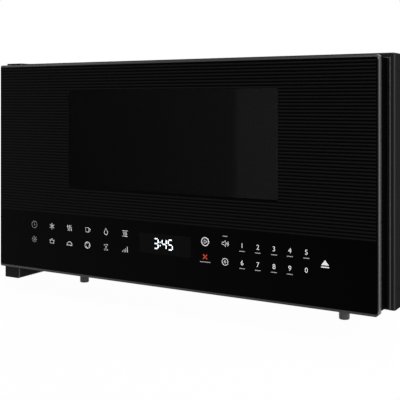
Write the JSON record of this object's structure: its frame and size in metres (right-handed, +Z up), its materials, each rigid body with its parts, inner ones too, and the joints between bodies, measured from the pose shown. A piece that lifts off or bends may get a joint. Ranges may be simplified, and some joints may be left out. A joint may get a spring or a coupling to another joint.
{
  "type": "built-in microwave",
  "caption": "Built-in convection microwave with a full-width black glass door, touch controls along its foot, a turntable and two fans.",
  "frame": {"origin": "middle of the rectangle that the oven fills, at the height of the soles of its feet", "axes": "+X to the right seen from the front, +Y from the door to the back, +Z up"},
  "size_m": [0.62, 0.492, 0.353],
  "materials": {
    "glass_black": "gloss, printed black with fine stripes",
    "frame_plastic": "satin grey moulding",
    "black_plastic": "fine-grain black moulding",
    "choke_enamel": "black enamel on steel",
    "screen_steel": "black perforated sheet",
    "pane_glass": "clear pane",
    "board_green": "circuit board with solder mask",
    "display_dark": "dark display window",
    "pale_plastic": "natural moulded plastic",
    "bare_steel": "bare pressed steel",
    "zinc_steel": "zinc-plated",
    "bush_nylon": "self-lubricating nylon",
    "bracket_black": "black powder coat",
    "plate_black": "satin black paint",
    "cavity_enamel": "grey oven enamel",
    "case_black": "satin black paint",
    "galvanised": "galvanised sheet",
    "foot_plastic": "grey moulded foot",
    "gland_rubber": "soft black",
    "mica": "pressed mica sheet",
    "fin_aluminium": "bright fins",
    "core_steel": "varnished laminations",
    "copper_winding": "varnished copper wire",
    "can_aluminium": "drawn can",
    "dark_plastic": "dark moulded plastic",
    "lamp": "steel lamp box with a clear bulb",
    "plunger_red": "red switch plunger",
    "solenoid": "yellow chromate frame",
    "tray_glass": "clear heat-proof glass",
    "roller_white": "white heat-proof plastic",
    "heater": "oxidised heater tube",
    "motor_steel": "motor can"
  },
  "bodies": {
    "body": {"hinge_pins": "zinc_steel", "lower_hinge_bracket": "bracket_black", "upper_hinge_bracket": "bracket_black", "front_plate": "plate_black", "oven_cavity": "cavity_enamel", "outer_case": "case_black", "base_plate": "galvanised", "rear_panel": "galvanised", "body_screws": "zinc_steel", "feet": "foot_plastic", "cord_gland": "gland_rubber", "waveguide": "bare_steel", "waveguide_cover": "mica", "magnetron_core": "fin_aluminium", "magnetron_yoke": "zinc_steel", "magnetron_filter": "zinc_steel", "transformer_core": "core_steel", "transformer_windings": "copper_winding", "capacitor": "can_aluminium", "capacitor_clamp": "zinc_steel", "diode": "dark_plastic", "relay_board": "board_green", "board_stand": "pale_plastic", "thermal_cutouts": "dark_plastic", "cavity_lamp": "lamp", "interlock_bracket": "pale_plastic", "interlock_switches": "dark_plastic", "release_solenoid": "solenoid", "turntable_motor": "motor_steel", "convection_housing": "galvanised", "convection_element": "heater", "fan_motors": "motor_steel", "fan_shroud": "dark_plastic"},
    "door": {"door_glass": "glass_black", "door_frame": "frame_plastic", "door_inner_cover": "black_plastic", "door_choke_frame": "choke_enamel", "door_screen": "screen_steel", "window_shroud": "black_plastic", "inner_window_pane": "pane_glass", "control_board": "board_green", "display_module": "display_dark", "board_holder": "pale_plastic", "hinge_lugs": "bare_steel", "hinge_bushes": "bush_nylon", "door_screws": "zinc_steel", "latch_spring": "zinc_steel"},
    "door_latch": {"latch_slider": "bush_nylon"},
    "release": {"release_lifter": "pale_plastic"},
    "upper_switch_plunger": {"upper_plunger": "plunger_red"},
    "lower_switch_plunger": {"lower_plunger": "plunger_red"},
    "monitor_switch_plunger": {"monitor_plunger": "plunger_red"},
    "turntable": {"turntable_coupler": "roller_white", "glass_tray": "tray_glass"},
    "tray_ring": {"roller_ring": "roller_white"},
    "ring_roller_1": {"roller_1": "roller_white"},
    "ring_roller_2": {"roller_2": "roller_white"},
    "ring_roller_3": {"roller_3": "roller_white"},
    "convection_wheel": {"convection_fan": "bare_steel"},
    "cooling_rotor": {"cooling_fan": "pale_plastic"}
  },
  "joints": [
    {"name": "door_hinge", "type": "hinge", "parent": "body", "child": "door", "pos_m": [-0.291, -0.227, 0.193], "axis": [0, 0, -1], "range_deg": [0, 110]},
    {"name": "release_lift", "type": "slide", "parent": "body", "child": "release", "axis": [0, 0, 1], "range_m": [0, 0.005], "stiffness_N_per_m": 150, "springref_m": -0.01},
    {"name": "latch_slide", "type": "slide", "parent": "door", "child": "door_latch", "axis": [0, 0, 1], "range_m": [0, 0.005], "stiffness_N_per_m": 200, "springref_m": -0.01, "deforming": ["latch_spring"]},
    {"name": "upper_switch_press", "type": "slide", "parent": "body", "child": "upper_switch_plunger", "axis": [0, 0, -1], "range_m": [0, 0.001], "stiffness_N_per_m": 300, "springref_m": -0.002},
    {"name": "lower_switch_press", "type": "slide", "parent": "body", "child": "lower_switch_plunger", "axis": [0, 0, -1], "range_m": [0, 0.001], "stiffness_N_per_m": 300, "springref_m": -0.002},
    {"name": "monitor_switch_press", "type": "slide", "parent": "body", "child": "monitor_switch_plunger", "axis": [0, 1, 0], "range_m": [0, 0.001], "stiffness_N_per_m": 300, "springref_m": -0.002},
    {"name": "tray_spin", "type": "hinge", "parent": "body", "child": "turntable", "pos_m": [0, -0.0128, 0.1], "axis": [0, 0, 1], "continuous": true},
    {"name": "ring_spin", "type": "hinge", "parent": "body", "child": "tray_ring", "pos_m": [0, -0.0128, 0.0982], "axis": [0, 0, 1], "continuous": true},
    {"name": "roller_1_spin", "type": "hinge", "parent": "tray_ring", "child": "ring_roller_1", "pos_m": [0, 0.0922, 0.0982], "axis": [0, 1, 0], "continuous": true},
    {"name": "roller_2_spin", "type": "hinge", "parent": "tray_ring", "child": "ring_roller_2", "pos_m": [-0.09093, -0.0653, 0.0982], "axis": [-0.866, -0.5, 0], "continuous": true},
    {"name": "roller_3_spin", "type": "hinge", "parent": "tray_ring", "child": "ring_roller_3", "pos_m": [0.09093, -0.0653, 0.0982], "axis": [0.866, -0.5, 0], "continuous": true},
    {"name": "convection_fan_spin", "type": "hinge", "parent": "body", "child": "convection_wheel", "pos_m": [0, 0.19, 0.206], "axis": [0, 1, 0], "continuous": true},
    {"name": "cooling_fan_spin", "type": "hinge", "parent": "body", "child": "cooling_rotor", "pos_m": [0.2625, 0.2168, 0.196], "axis": [0, 1, 0], "continuous": true}
  ],
  "couplings": [
    {"joint": "latch_slide", "follows": "release_lift", "ratio": 1},
    {"joint": "ring_spin", "follows": "tray_spin", "ratio": 0.5},
    {"joint": "roller_1_spin", "follows": "tray_spin", "ratio": -6.5625},
    {"joint": "roller_2_spin", "follows": "tray_spin", "ratio": -6.5625},
    {"joint": "roller_3_spin", "follows": "tray_spin", "ratio": -6.5625}
  ]
}
